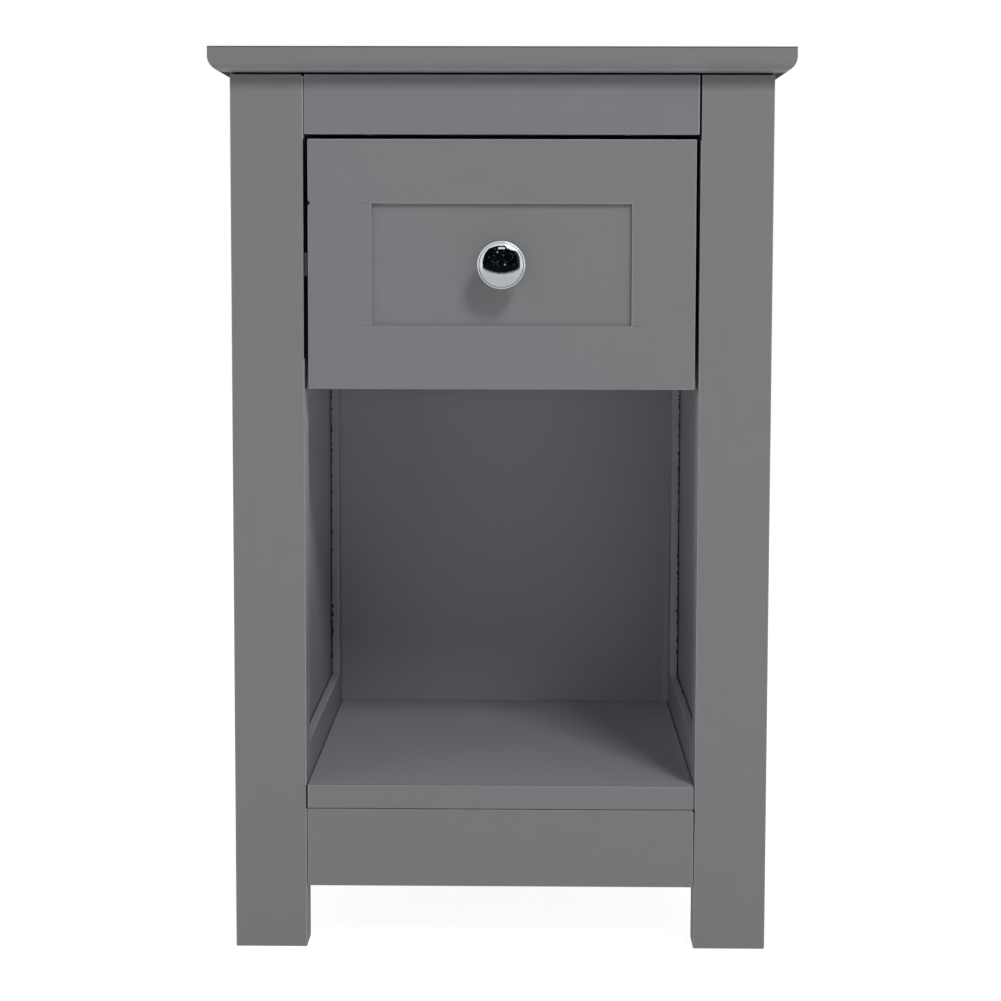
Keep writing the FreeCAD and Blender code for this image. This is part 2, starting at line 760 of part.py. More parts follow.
def make_knob(panel):
    """A turned mushroom knob with a domed face and a rolled rim, drawn up by a screw from behind the panel."""
    body = doc.addObject("PartDesign::Body", "knob")
    body.Label = "knob"
    put(body, [0, panel_face, front_middle], -Y)
    dome_edge = s.knob_head_radius - s.knob_rim_round
    dome_drop = s.knob_dome_radius - Ex(f"sqrt({s.knob_dome_radius.text}^2 - {dome_edge.text}^2)")
    dome_tip = s.knob_reach + s.front_panel_recess
    head_high = dome_tip - dome_drop
    head_low = head_high - s.knob_head_rise
    flare_high = head_low + s.knob_rim_round

    def turned(kind, name, low, **sizes):
        part = bind(body.newObject(f"PartDesign::Additive{kind}", f"knob_{name}"), **sizes)
        return put(part, [0, 0, low])

    turned("Cylinder", "base", 0, Radius=s.knob_base_radius, Height=s.knob_base_thickness)
    neck_rise = s.knob_neck_height - s.knob_base_thickness
    turned(
        "Cone",
        "neck",
        s.knob_base_thickness,
        Radius1=s.knob_foot_radius,
        Radius2=s.knob_neck_radius,
        Height=neck_rise,
    )
    flare_rise = flare_high - s.knob_neck_height
    turned(
        "Cone",
        "flare",
        s.knob_neck_height,
        Radius1=s.knob_neck_radius,
        Radius2=s.knob_flare_radius,
        Height=flare_rise,
    )
    rim = turned("Cylinder", "rim", head_low, Radius=s.knob_head_radius, Height=s.knob_head_rise)
    rim.recompute(True)
    edge_length = 2 * math.pi * rim.Radius.Value
    picked = [f"Edge{i}" for i, e in enumerate(rim.Shape.Edges, 1) if math.isclose(e.Length, edge_length)]
    rolled = body.newObject("PartDesign::Fillet", "knob_rolled_rim")
    rolled.Base = (rim, picked)
    bind(rolled, Radius=s.knob_rim_round)
    dome = turned("Sphere", "dome", dome_tip - s.knob_dome_radius, Radius=s.knob_dome_radius)
    dome.setExpression("Angle1", f"acos({dome_edge.text} / {s.knob_dome_radius.text})")
    bore = body.newObject("PartDesign::SubtractiveCylinder", "knob_bore")
    bind(bore, Radius=s.knob_screw_radius + s.hole_play, Height=s.knob_bore_depth)
    nodes.append(body)

    head_start = panel_back + s.knob_screw_head_height
    hole_start = [0, panel_back, front_middle]
    panel.drill(
        "knob_hole", hole_start, -Y, s.knob_screw_radius + s.hole_play, s.front_panel_thickness
    )
    head = rod(
        "knob_screw_head",
        [0, head_start, front_middle],
        -Y,
        s.knob_screw_head_radius,
        s.knob_screw_head_height,
    )
    length = s.knob_screw_head_height + s.front_panel_thickness + s.knob_screw_grip
    shank = rod("knob_screw_shank", [0, head_start, front_middle], -Y, s.knob_screw_radius, length)
    node = joined("knob_screw", [head, shank])
    node.Label = "knob_screw"
    nodes.append(node)


def check():
    """Every object is sound and every sub-part is a valid solid, before anything is written."""
    for thing in doc.Objects:
        if "Invalid" in thing.State or "Error" in thing.State:
            raise RuntimeError(f"{thing.Name} failed: {thing.State}")
    for node in nodes:
        if node.Shape.isNull() or not node.Shape.isValid() or not node.Shape.Solids:
            raise RuntimeError(f"{node.Label} has no valid shape")


def write():
    """One STEP file for each sub-part, named after its label."""
    os.makedirs("parts", exist_ok=True)
    for node in nodes:
        node.Shape.exportStep(os.path.join("parts", f"{node.Label}.step"))
        box = node.Shape.BoundBox
        corners = [round(v, 2) for v in (box.XMin, box.XMax, box.YMin, box.YMax, box.ZMin, box.ZMax)]
        print(node.Label, len(node.Shape.Solids), round(node.Shape.Volume), corners)


make_carcass()
drawer_rails, drawer_panel = make_drawer_front()
make_drawer_box(drawer_rails)
make_knob(drawer_panel)
doc.recompute()
check()
write()
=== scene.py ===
import math

import bmesh
import bpy
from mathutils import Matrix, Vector


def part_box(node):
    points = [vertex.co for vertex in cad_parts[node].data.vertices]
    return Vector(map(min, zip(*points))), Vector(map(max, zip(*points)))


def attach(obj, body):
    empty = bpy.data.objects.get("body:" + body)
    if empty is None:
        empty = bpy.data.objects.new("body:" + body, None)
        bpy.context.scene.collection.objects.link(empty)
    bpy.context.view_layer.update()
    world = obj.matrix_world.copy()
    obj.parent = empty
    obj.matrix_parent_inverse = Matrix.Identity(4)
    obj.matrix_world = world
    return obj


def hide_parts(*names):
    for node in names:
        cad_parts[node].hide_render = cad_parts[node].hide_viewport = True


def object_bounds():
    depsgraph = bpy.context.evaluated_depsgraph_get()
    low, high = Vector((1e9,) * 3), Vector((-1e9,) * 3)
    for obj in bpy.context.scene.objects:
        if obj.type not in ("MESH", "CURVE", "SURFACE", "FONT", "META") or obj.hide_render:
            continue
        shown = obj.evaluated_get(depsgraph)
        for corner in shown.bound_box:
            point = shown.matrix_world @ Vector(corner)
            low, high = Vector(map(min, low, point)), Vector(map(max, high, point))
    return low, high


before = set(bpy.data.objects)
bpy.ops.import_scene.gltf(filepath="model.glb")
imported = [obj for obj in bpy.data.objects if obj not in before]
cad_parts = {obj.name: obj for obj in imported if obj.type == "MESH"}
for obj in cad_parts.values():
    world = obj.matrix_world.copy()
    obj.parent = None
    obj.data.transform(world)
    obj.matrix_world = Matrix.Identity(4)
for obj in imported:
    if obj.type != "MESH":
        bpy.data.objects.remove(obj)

cad_low, cad_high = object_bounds()

# A grey painted bedside table with one drawer on wooden runners and an open shelf.
# Metres, +Z up, the drawer front faces -Y.
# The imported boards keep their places, and this script gives them their finish.

MM = 0.001
# A place beyond the table on every side
FAR = 1.0


# Places on the table that a finish refers to

FRONT = -0.1315
LEG_EDGE = 0.130
LEG_OUTSIDE = 0.178
TOP_FRONT = -0.1435
TOP_UPPER_SIDE = 0.600
TOP_UNDERSIDE = 0.584
SLOT_LOW = 0.583
DRAWER_EDGE = 0.1275
DRAWER_TOP = 0.541
DRAWER_LOW = 0.377
GROOVE_INNER = 0.136
RECESS_EDGE = 0.0855
RECESS_LOW = 0.419
RECESS_HIGH = 0.499
SHELF_LOW = 0.095
SHELF_TOP = 0.111
KNOB_HEIGHT = 0.459

# The faces round the open compartment, and the stretch of the panel grooves that shows in it
INSIDE = {"x": (-0.137, 0.137), "y": (FRONT + 2 * MM, 0.154), "z": (0.1, DRAWER_LOW - 0.5 * MM)}
GROOVES = {"y": (-0.1, 0.143), "z": (0.12, 0.5)}


# Finishes

# The paint's own value and its roughness
GREY_PAINT = 0.196
SATIN = 0.46

# A face counts as square to an axis from this share on
SQUARE = 0.9

# How much paler the painted fill light makes the faces inside the case, on each of them, and how much cooler
# the paint is there
INSIDE_LIGHTER = 0.50
WALL_LIGHTER = 0.60
UPPER_WALL_LIGHTER = 0.80
SHELF_LIGHTER = 0.57
RIGHT_LEG_LIGHTER = 0.45
LEFT_BACK_LIGHTER = 0.30
INSIDE_COOLER = 0.80
PANEL_COOLER = 0.25

# How dark the black painted into joints is, and as shares of that the lighter painted shade and the hairlines
JOINT_DARKER = 0.985
OVERHANG_SHADE_DARK = 0.15
OVERHANG_SHADE_DARKER = 0.23
UNDER_SIDES_SHADE = 0.68
FRONT_ARRIS_SHADE = 0.50
UNDER_SHELF_SHADE = 0.66
HAIRLINE_DULL = 0.62

# How much paler the painted highlight on an edge is, and as shares of that the fainter painted highlights and
# painted light
PAINTED_HIGHLIGHT = 0.62
LEG_SIDE_HIGHLIGHT = 0.50
SHELF_END_HIGHLIGHT = 0.60
LEFT_JOINT_HIGHLIGHT = 0.70
ROUND_PAINTED_LIGHT = 0.35
RECESS_HIGHLIGHT = 0.16
RECESS_TOP_HIGHLIGHT = 0.34
RECESS_RIGHT_HIGHLIGHT = 0.20
RECESS_WALL_PAINTED_LIGHT = 0.35

# The hairlines' half widths, and the half width and height of the knock on the drawer's edge
UPPER_HAIRLINE = 0.26 * MM
LOWER_HAIRLINE = 0.22 * MM
KNOCK_WIDE = 1.6 * MM
KNOCK_HIGH = 1.4 * MM


class Tone:
    """One socket of a recipe. Arithmetic on it adds Math nodes."""

    def __init__(self, recipe, socket):
        self.recipe = recipe
        self.socket = socket

    def reckon(self, operation, *values):
        return self.recipe.node("ShaderNodeMath", {"operation": operation}, dict(enumerate(values)))

    def __add__(self, other):
        return self.reckon("ADD", self, other)

    def __sub__(self, other):
        return self.reckon("SUBTRACT", self, other)

    def __rsub__(self, other):
        return self.reckon("SUBTRACT", other, self)

    def __mul__(self, other):
        return self.reckon("MULTIPLY", self, other)

    def __truediv__(self, other):
        return self.reckon("DIVIDE", self, other)

    def __rtruediv__(self, other):
        return self.reckon("DIVIDE", other, self)

    def __pow__(self, other):
        return self.reckon("POWER", self, other)

    def __abs__(self):
        return self.reckon("ABSOLUTE", self)

    __radd__ = __add__
    __rmul__ = __mul__

    def above(self, limit):
        """One where the value is over a limit and nothing elsewhere."""
        return self.reckon("GREATER_THAN", self, limit)

    def below(self, limit):
        return self.reckon("LESS_THAN", self, limit)

    def larger(self, other):
        return self.reckon("MAXIMUM", self, other)

    def smaller(self, other):
        return self.reckon("MINIMUM", self, other)

    def clipped(self):
        """The same value, held between nothing and one."""
        return self.larger(0.0).smaller(1.0)

    def rise(self, start, end):
        """From nothing at one value to one at another, which may be the lower of the two."""
        return ((self - start) / (end - start)).clipped()


class Recipe:
    """A tree of shader nodes, written as sums on its tones."""

    def __init__(self, tree, place):
        self.tree = tree
        self.place = self.node("ShaderNodeTexCoord", output=place)

    def node(self, kind, settings=None, inputs=None, output=0):
        """One node, its settings first and then its sockets, as the tone that it gives."""
        node = self.tree.nodes.new(kind)
        for name, value in (settings or {}).items():
            setattr(node, name, value)
        for name, value in (inputs or {}).items():
            self.join(node.inputs[name], value)
        return Tone(self, node.outputs[output]) if node.outputs else None

    def join(self, socket, value):
        if isinstance(value, Tone):
            self.tree.links.new(value.socket, socket)
        else:
            socket.default_value = value

    def along(self, axis):
        """How far a point lies along one axis, in metres."""
        if not hasattr(self, "axes"):
            self.axes = self.node("ShaderNodeSeparateXYZ", inputs={"Vector": self.place}).socket.node
        return Tone(self, self.axes.outputs["XYZ".index(axis.upper())])

    def patch(self, **ranges):
        """One inside a box, given as ranges along its axes, and nothing outside it."""
        share = 1.0
        for axis, (low, high) in ranges.items():
            share = self.along(axis).above(low) * self.along(axis).below(high) * share
        return share

    def stretched(self, along, across):
        """The place, with a pattern that runs long along one axis."""
        scale = tuple(1.0 if axis == along else across for axis in "xyz")
        return self.node("ShaderNodeMapping", inputs={"Vector": self.place, "Scale": scale})

    def noise(self, scale, detail, place=None, roughness=0.5, distortion=0.0):
        """Soft random clouds, from nothing to one."""
        return self.node(
            "ShaderNodeTexNoise",
            inputs={
                "Vector": place or self.place,
                "Scale": scale,
                "Detail": detail,
                "Roughness": roughness,
                "Distortion": distortion,
            },
        )

    def blended(self, share, first, second):
        """A colour between two others."""
        return self.node(
            "ShaderNodeMix", {"data_type": "RGBA"}, {"Factor": share, 6: first, 7: second}, output=2
        )

    def scaled(self, colour, share):
        return self.node("ShaderNodeVectorMath", {"operation": "SCALE"}, {"Vector": colour, "Scale": share})


class Finish(Recipe):
    """A surface finish: one Principled shader and what feeds it."""

    def __init__(self, name, **fixed):
        self.material = bpy.data.materials.new(name)
        self.material.use_nodes = True
        super().__init__(self.material.node_tree, "Object")
        self.shader = self.tree.nodes["Principled BSDF"]
        for socket, value in fixed.items():
            self.shader.inputs[socket.replace("_", " ")].default_value = value

    def feed(self, **tones):
        for socket, tone in tones.items():
            self.join(self.shader.inputs[socket.replace("_", " ")], tone)

    def relief(self, height, depth):
        """Fine ups and downs of a depth in metres."""
        bump = {"Height": height, "Distance": depth, "Strength": 1.0}
        self.feed(Normal=self.node("ShaderNodeBump", inputs=bump))

    def facing(self):
        """How squarely the surface faces each of the three axes."""
        normal = self.node("ShaderNodeTexCoord", output="Normal")
        parts = self.node("ShaderNodeSeparateXYZ", inputs={"Vector": normal}).socket.node
        return [abs(Tone(self, output)) for output in parts.outputs]


def grey(value, tint):
    """A grey with more blue and a little less green the more it is tinted."""
    return (value, value * (1 - tint * 0.2), value * (1 + tint), 1.0)


def evenly(share):
    """The same share all over a piece."""
    return lambda paint: share


def held(share):
    """A tone or a plain number, held between nothing and one."""
    return share.clipped() if isinstance(share, Tone) else min(max(share, 0.0), 1.0)


def span(place, low, high):
    """A range near a place, from and to so many millimetres past it."""
    return (place + low * MM, place + high * MM)


def painted_fill_light(paint):
    """Painted fill light inside the case: walls, back and shelf painted paler to lift their shade, more
    higher up and most at the right.
    """
    facing_x, facing_y, facing_z = [facing.above(SQUARE) for facing in paint.facing()]
    sideways, inward, high = [paint.along(axis) for axis in "xyz"]
    right_wall = sideways.rise(*span(LEG_EDGE, -8.0, -3.0))
    right_shelf = ((sideways + inward * 0.5 - 0.07) * 12.0).clipped()
    right_leg = facing_y * right_wall * inward.below(0.14) * RIGHT_LEG_LIGHTER
    upper = high.rise(0.2, 0.2833)
    left_back = facing_y * sideways.rise(*span(-LEG_EDGE, 60.0, 10.0)) * upper * LEFT_BACK_LIGHTER
    walls = facing_x * (upper * UPPER_WALL_LIGHTER + WALL_LIGHTER) + right_leg + left_back
    upward = high.rise(0.0575, 0.37).larger(right_wall * 0.7)
    shelf = facing_z * (right_shelf + SHELF_LIGHTER)
    return paint.patch(**INSIDE) * ((walls + INSIDE_LIGHTER) * upward + shelf)


def sprayed_paint(
    name,
    grain,
    value=GREY_PAINT,
    coolness=evenly(0.0),
    cracks_and_painted_shade=evenly(0.0),
    bright_lines=evenly(0.0),
    edge_highlight_at=evenly(1.0),
    streaks=0.03,
):
    """Satin paint sprayed over sanded board: even, with the grain just showing and rare dust nibs.

    The eased edges carry a painted highlight, and black lies in the joints and gaps as painted shade, and in
    the drawer front's hairlines.
    """
    paint = Finish(name, Specular_IOR_Level=0.25)
    clouds = paint.noise(5.0, 2.0)
    mottle = paint.noise(55.0, 3.0)
    peel = paint.noise(420.0, 2.0)
    grit = paint.noise(1700.0, 1.0)
    fibres = paint.noise(26.0, 3.0, paint.stretched(grain, 14.0), roughness=0.6)
    speckle = {"Vector": paint.place, "Scale": 60.0, "Randomness": 1.0}
    dust = (1.0 - paint.node("ShaderNodeTexVoronoi", {"feature": "F1"}, speckle) * 30.0).clipped()
    cool = (clouds - 0.5) * 0.6 + coolness(paint)
    body = paint.blended(cool.clipped(), grey(value, 0.035), grey(value * 0.99, 0.105))
    facing_x, facing_y, facing_z = paint.facing()
    # Painted highlight on the eased edges and along the bright lines
    eased = ((1.0 - facing_x.larger(facing_y).larger(facing_z)) * 9.0).clipped() * edge_highlight_at(paint)
    edge_highlight = (eased + bright_lines(paint)).clipped() * PAINTED_HIGHLIGHT * (0.6 + mottle * 0.8)
    marbling = (mottle - 0.5) * 0.04 + (grit - 0.5) * 0.03 + (fibres - 0.5) * streaks
    # Black painted shade in the open joints and gaps, and the drawer front's hairlines and knock
    black = held(cracks_and_painted_shade(paint))
    # Painted fill light inside the case lifts its shade
    shade = (1.0 + marbling + painted_fill_light(paint) + edge_highlight) * (1.0 - black * JOINT_DARKER)
    unevenness = (mottle - 0.5) * 0.10 + (peel - 0.5) * 0.08
    paint.feed(
        Base_Color=paint.scaled(body, shade),
        Roughness=SATIN + unevenness - edge_highlight * 0.15 + black * 0.5,
    )
    paint.relief(peel * 0.8 + grit * 0.25 + fibres * 0.7 + dust * 0.9, 0.03 * MM)
    return paint.material


def cool_low_left(paint):
    """The drawer front's paint turns cooler towards its lower left."""
    return (0.55 - (paint.along("x") + 0.03) * 5.0 - (paint.along("z") - 0.42) * 6.0).clipped()


def cool_behind_edge(paint):
    """The shelf is cooler on its top than on its front edge."""
    return paint.along("y").above(FRONT + 1.5 * MM)


def cool_inside(paint):
    """Inside the case the paint is cooler than outside."""
    return paint.patch(**INSIDE) * INSIDE_COOLER


def cool_panel(paint):
    """The panels are a little cooler than the boards round them."""
    return cool_inside(paint) + PANEL_COOLER


def panel_grooves(paint):
    """Painted shade: a black line along the inner side of the grooves that hold the side panels, ragged along
    its edge.
    """
    chips = (paint.noise(420.0, 2.0) - 0.5) * 3.6 * MM
    beside = abs(paint.along("x")) - GROOVE_INNER + chips
    return beside.above(-0.6 * MM) * beside.below(1.6 * MM) * paint.patch(**GROOVES)


def case_joint_shade(paint):
    """Painted shade that blackens the joints of the case: under the top, beside the rail, the drawer's left
    gap and the shelf, round the apron, and a line under the shelf.

    A painted shadow also darkens the last centimetre under the overhang.
    """

    def joint(x, z):
        return paint.patch(x=x, y=(-FAR, FRONT + 8 * MM), z=z)

    high = paint.along("z")
    under_top = paint.patch(z=(SLOT_LOW, TOP_UNDERSIDE + MM))
    below_top = joint((-FAR, FAR), (0.57, TOP_UNDERSIDE)) * high.rise(*span(SLOT_LOW, -10.8, -5.8))
    overhang_shadow = below_top * (high.rise(*span(SLOT_LOW, -1.8, -4.3)) * OVERHANG_SHADE_DARKER + OVERHANG_SHADE_DARK)
    left_of_rail = joint(span(-LEG_EDGE, -1.2, 0.9), span(SLOT_LOW, -1.3, 0.5))
    right_of_rail = joint(span(LEG_EDGE, -0.95, 0.6), (DRAWER_TOP - 0.5 * MM, SLOT_LOW + 0.5 * MM))
    left_gap = joint(span(-LEG_EDGE, -0.4, 1.0), (DRAWER_LOW + 20 * MM, DRAWER_TOP))
    left_of_shelf = joint(span(-LEG_EDGE, -0.45, 0.7), (SHELF_LOW - 0.3 * MM, SHELF_TOP))
    under_shelf = joint((-LEG_EDGE, LEG_EDGE), span(SHELF_LOW, -0.45, 0.3)) * UNDER_SHELF_SHADE
    right_of_apron = joint(span(LEG_EDGE, -0.5, 0.35), (0.03, SHELF_LOW)) * high.rise(0.06, 0.0894)
    corner = joint(span(LEG_EDGE, -0.9, 0.5), span(SHELF_LOW, -1.5, 0.3))
    beside = left_of_rail + right_of_rail + left_gap + left_of_shelf + right_of_apron + corner
    return under_top + overhang_shadow + under_shelf + beside + panel_grooves(paint)


def upper_edge(paint):
    """The top's painted edge highlight lies only on its upper edge, not on the large round below."""
    return paint.along("z").above(TOP_UPPER_SIDE - 2.5 * MM)


def under_round(paint):
    """Painted light on the large round, growing towards its foot, where it lifts the shade on the round's
    lower side.
    """
    high = paint.along("z")
    slow = high.rise(*span(TOP_UNDERSIDE, 8.5, 0.8))
    steep = high.rise(*span(TOP_UNDERSIDE, 2.8, 0.8))
    return (slow * ROUND_PAINTED_LIGHT + steep) * paint.along("y").below(FRONT - 0.2 * MM)


def top_painted_shade(paint):
    """Painted shade on the top: black where the slot above the legs and the rail meets it, darker under its
    sides and on its upper front arris.
    """
    slot_end = LEG_OUTSIDE - 0.5 * MM
    slot = paint.patch(x=(-slot_end, slot_end), y=(FRONT + 0.3 * MM, FAR), z=span(TOP_UNDERSIDE, -4.0, 0.3))
    behind = abs(paint.along("x")).above(LEG_OUTSIDE) * paint.along("y").above(FRONT - 3 * MM)
    under_sides = behind * paint.along("z").rise(*span(TOP_UNDERSIDE, 5.5, 2.17))
    front_arris = paint.patch(y=(-FAR, TOP_FRONT + 0.7 * MM), z=(TOP_UPPER_SIDE - 0.9 * MM, FAR))
    return slot + under_sides * UNDER_SIDES_SHADE + front_arris * FRONT_ARRIS_SHADE


def case_lines(paint):
    """Painted highlights on the edges beside the open joints."""

    def line(x, z):
        return paint.patch(x=x, y=(-FAR, FRONT + 0.6 * MM), z=z)

    rail = (DRAWER_TOP + 0.2 * MM, SLOT_LOW - 0.4 * MM)
    rail_end = line(span(LEG_EDGE, -1.7, -0.95), rail)
    leg_side = line(span(LEG_EDGE, 0.6, 1.2), rail)
    shelf_end = line(span(-LEG_EDGE, 0.7, 1.5), (SHELF_LOW, SHELF_TOP))
    left_joint = line(span(-LEG_EDGE, -0.7, 0.7), (DRAWER_TOP + 0.2 * MM, SLOT_LOW - 2.5 * MM))
    fainter = leg_side * LEG_SIDE_HIGHLIGHT + shelf_end * SHELF_END_HIGHLIGHT + left_joint * LEFT_JOINT_HIGHLIGHT
    return rail_end + fainter


def drawer_cracks(paint):
    """Hairlines where the stiles of the drawer front meet its rails, and a knock on its left edge."""
    beside = abs(paint.along("x"))
    fading = beside.rise(RECESS_EDGE + 14.3 * MM, RECESS_EDGE) * beside.above(RECESS_EDGE + 0.4 * MM)
    broken = ((paint.noise(160.0, 2.0) - 0.4) * 5.0).clipped()
    upper = abs(paint.along("z") - RECESS_HIGH).below(UPPER_HAIRLINE)
    lower = abs(paint.along("z") - RECESS_LOW).below(LOWER_HAIRLINE)
    cracks = (upper + lower) * fading * broken * HAIRLINE_DULL
    across = (paint.along("x") + DRAWER_EDGE) / KNOCK_WIDE
    upright = (paint.along("z") - RECESS_HIGH - 0.3 * MM) / KNOCK_HIGH
    knock = (across * across + upright * upright).below(1.0)
    return cracks + knock


def recess_lines(paint):
    """A painted highlight on the arris round the sunk panel, strongest above it and at its right and faint
    elsewhere, and painted light on its left wall.
    """
    edge = RECESS_EDGE + 0.7 * MM
    round_panel = paint.patch(
        x=(-edge, edge), y=(-FAR, FRONT + 0.3 * MM), z=(RECESS_LOW - 0.6 * MM, RECESS_HIGH + 0.6 * MM)
    )
    above = paint.along("z").rise(*span(RECESS_HIGH, -6.0, -1.0))
    right = paint.along("x").above(RECESS_EDGE - MM)
    left_wall = paint.patch(
        x=span(-RECESS_EDGE, -0.3, 1.0), y=(-FAR, FRONT + 11.5 * MM), z=(RECESS_LOW, RECESS_HIGH - 7 * MM)
    )
    edge_highlight = RECESS_HIGHLIGHT + above * RECESS_TOP_HIGHLIGHT + right * RECESS_RIGHT_HIGHLIGHT
    return round_panel * edge_highlight + left_wall * RECESS_WALL_PAINTED_LIGHT


def right_runner_end(paint):
    """Painted shade: the right runner's end is painted black, so that only the left one shows in its gap."""
    return paint.patch(x=(0.12, 0.14), y=span(FRONT, -8.5, 11.5))


def bare_wood(name, along, pale, dark):
    """Sanded light wood: long fibres, slow rings and small pores, all running along one way."""
    wood = Finish(name, Specular_IOR_Level=0.35)
    long_place = wood.stretched(along, 9.0)
    rings = wood.noise(6.0, 2.0, long_place, distortion=0.6)
    bands = wood.node("ShaderNodeMath", {"operation": "SINE"}, {0: rings * 62.0}) * 0.5 + 0.5
    fibres = wood.noise(70.0, 4.0, long_place, roughness=0.65)
    pores = ((wood.noise(260.0, 2.0, long_place) - 0.62) * 9.0).clipped()
    share = (bands * 0.45 + fibres * 0.55).clipped()
    colour = wood.blended(share, (*pale, 1.0), (*dark, 1.0))
    flecked = wood.blended(pores * 0.35, colour, (*[value * 0.55 for value in dark], 1.0))
    wood.feed(Base_Color=flecked, Roughness=0.52 + (fibres - 0.5) * 0.16)
    wood.relief(fibres * 0.5 - pores * 0.8, 0.05 * MM)
    return wood.material


def plated_steel(name):
    """Zinc-plated steel, slightly clouded and drawn."""
    steel = Finish(name, Metallic=1.0)
    clouds = steel.noise(600.0, 3.0)
    drawn = steel.noise(2600.0, 2.0)
    colour = steel.blended(clouds, (0.58, 0.58, 0.55, 1.0), (0.70, 0.71, 0.70, 1.0))
    steel.feed(Base_Color=colour, Roughness=0.26 + clouds * 0.16)
    steel.relief(drawn, 0.01 * MM)
    return steel.material


def polished_chrome(name):
    """Mirror-bright plating with the faintest polishing haze."""
    chrome = Finish(name, Metallic=1.0)
    haze = chrome.noise(180.0, 3.0)
    swirls = chrome.noise(2400.0, 2.0)
    colour = chrome.blended(haze, (0.70, 0.74, 0.75, 1.0), (0.74, 0.77, 0.78, 1.0))
    chrome.feed(Base_Color=colour, Roughness=0.03 + haze * 0.03)
    chrome.relief(swirls * 0.4 + haze * 0.6, 0.002 * MM)
    return chrome.material


leg_paint = sprayed_paint(
    "grey_paint_on_legs", "z", coolness=cool_inside, cracks_and_painted_shade=case_joint_shade, bright_lines=case_lines
)
rail_paint = sprayed_paint(
    "grey_paint_on_rail", "x", 0.194, evenly(0.75), cracks_and_painted_shade=case_joint_shade, bright_lines=case_lines
)
apron_paint = sprayed_paint("grey_paint_on_apron", "x", cracks_and_painted_shade=case_joint_shade)
shelf_paint = sprayed_paint(
    "grey_paint_on_shelf",
    "x",
    coolness=cool_behind_edge,
    cracks_and_painted_shade=case_joint_shade,
    bright_lines=case_lines,
    edge_highlight_at=evenly(0.5),
)
top_paint = sprayed_paint(
    "grey_paint_on_top",
    "x",
    cracks_and_painted_shade=top_painted_shade,
    bright_lines=under_round,
    edge_highlight_at=upper_edge,
    streaks=0.10,
)
side_paint = sprayed_paint("grey_paint_on_sides", "y", coolness=cool_inside, cracks_and_painted_shade=panel_grooves)
panel_paint = sprayed_paint("grey_paint_on_panels", "z", coolness=cool_panel)
cross_paint = sprayed_paint("grey_paint_crosswise", "x")
drawer_frame = {"coolness": cool_low_left, "cracks_and_painted_shade": drawer_cracks, "bright_lines": recess_lines}
drawer_rail_paint = sprayed_paint("grey_paint_on_drawer_rails", "x", **drawer_frame)
drawer_stile_paint = sprayed_paint("grey_paint_on_drawer_stiles", "z", **drawer_frame)
drawer_panel_paint = sprayed_paint("grey_paint_on_drawer_panel", "x", coolness=cool_low_left)
back_paint = sprayed_paint("grey_paint_on_thin_board", "z", 0.193, evenly(1.0), streaks=0.01)
runner_paint = sprayed_paint("grey_paint_on_runners", "y", 0.075, cracks_and_painted_shade=right_runner_end)
side_wood = bare_wood("drawer_wood_lengthwise", "y", (0.70, 0.55, 0.37), (0.55, 0.39, 0.23))
cross_wood = bare_wood("drawer_wood_crosswise", "x", (0.70, 0.55, 0.37), (0.56, 0.40, 0.24))
base_wood = bare_wood("drawer_bottom_ply", "x", (0.66, 0.52, 0.36), (0.55, 0.41, 0.26))
dowel_wood = bare_wood("dowel_wood", "y", (0.62, 0.44, 0.28), (0.50, 0.33, 0.19))
peg_wood = bare_wood("peg_wood", "z", (0.62, 0.44, 0.28), (0.50, 0.33, 0.19))
steel = plated_steel("plated_steel")
chrome = polished_chrome("polished_chrome")

FINISHES = {
    "top_board": top_paint,
    "front_leg_left": leg_paint,
    "front_leg_right": leg_paint,
    "back_leg_left": leg_paint,
    "back_leg_right": leg_paint,
    "top_front_rail": rail_paint,
    "top_back_rail": cross_paint,
    "front_apron": apron_paint,
    "low_back_rail": cross_paint,
    "top_side_rail_left": side_paint,
    "top_side_rail_right": side_paint,
    "low_side_rail_left": side_paint,
    "low_side_rail_right": side_paint,
    "side_panel_left": panel_paint,
    "side_panel_right": panel_paint,
    "shelf": shelf_paint,
    "back_panel": back_paint,
    "drawer_runner_left": runner_paint,
    "drawer_runner_right": runner_paint,
    "drawer_front_top_rail": drawer_rail_paint,
    "drawer_front_low_rail": drawer_rail_paint,
    "drawer_front_stile_left": drawer_stile_paint,
    "drawer_front_stile_right": drawer_stile_paint,
    "drawer_front_panel": drawer_panel_paint,
    "drawer_side_left": side_wood,
    "drawer_side_right": side_wood,
    "drawer_back": cross_wood,
    "drawer_bottom": base_wood,
    "side_rail_dowels": dowel_wood,
    "cross_rail_dowels": cross_wood,
    "shelf_dowels": peg_wood,
    "drawer_front_dowels": dowel_wood,
    "drawer_stop_pegs": peg_wood,
    "top_screws": steel,
    "runner_screws": steel,
    "drawer_back_screws": steel,
    "knob_screw": steel,
    "back_panel_pins": steel,
    "drawer_bottom_pins": steel,
    "knob": chrome,
}

for name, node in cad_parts.items():
    node.data.materials.clear()
    node.data.materials.append(FINISHES[name])


# Pieces modelled here

TOP_LOWER_ROUND = 9.5 * MM
TOP_UPPER_ROUND = 1 * MM
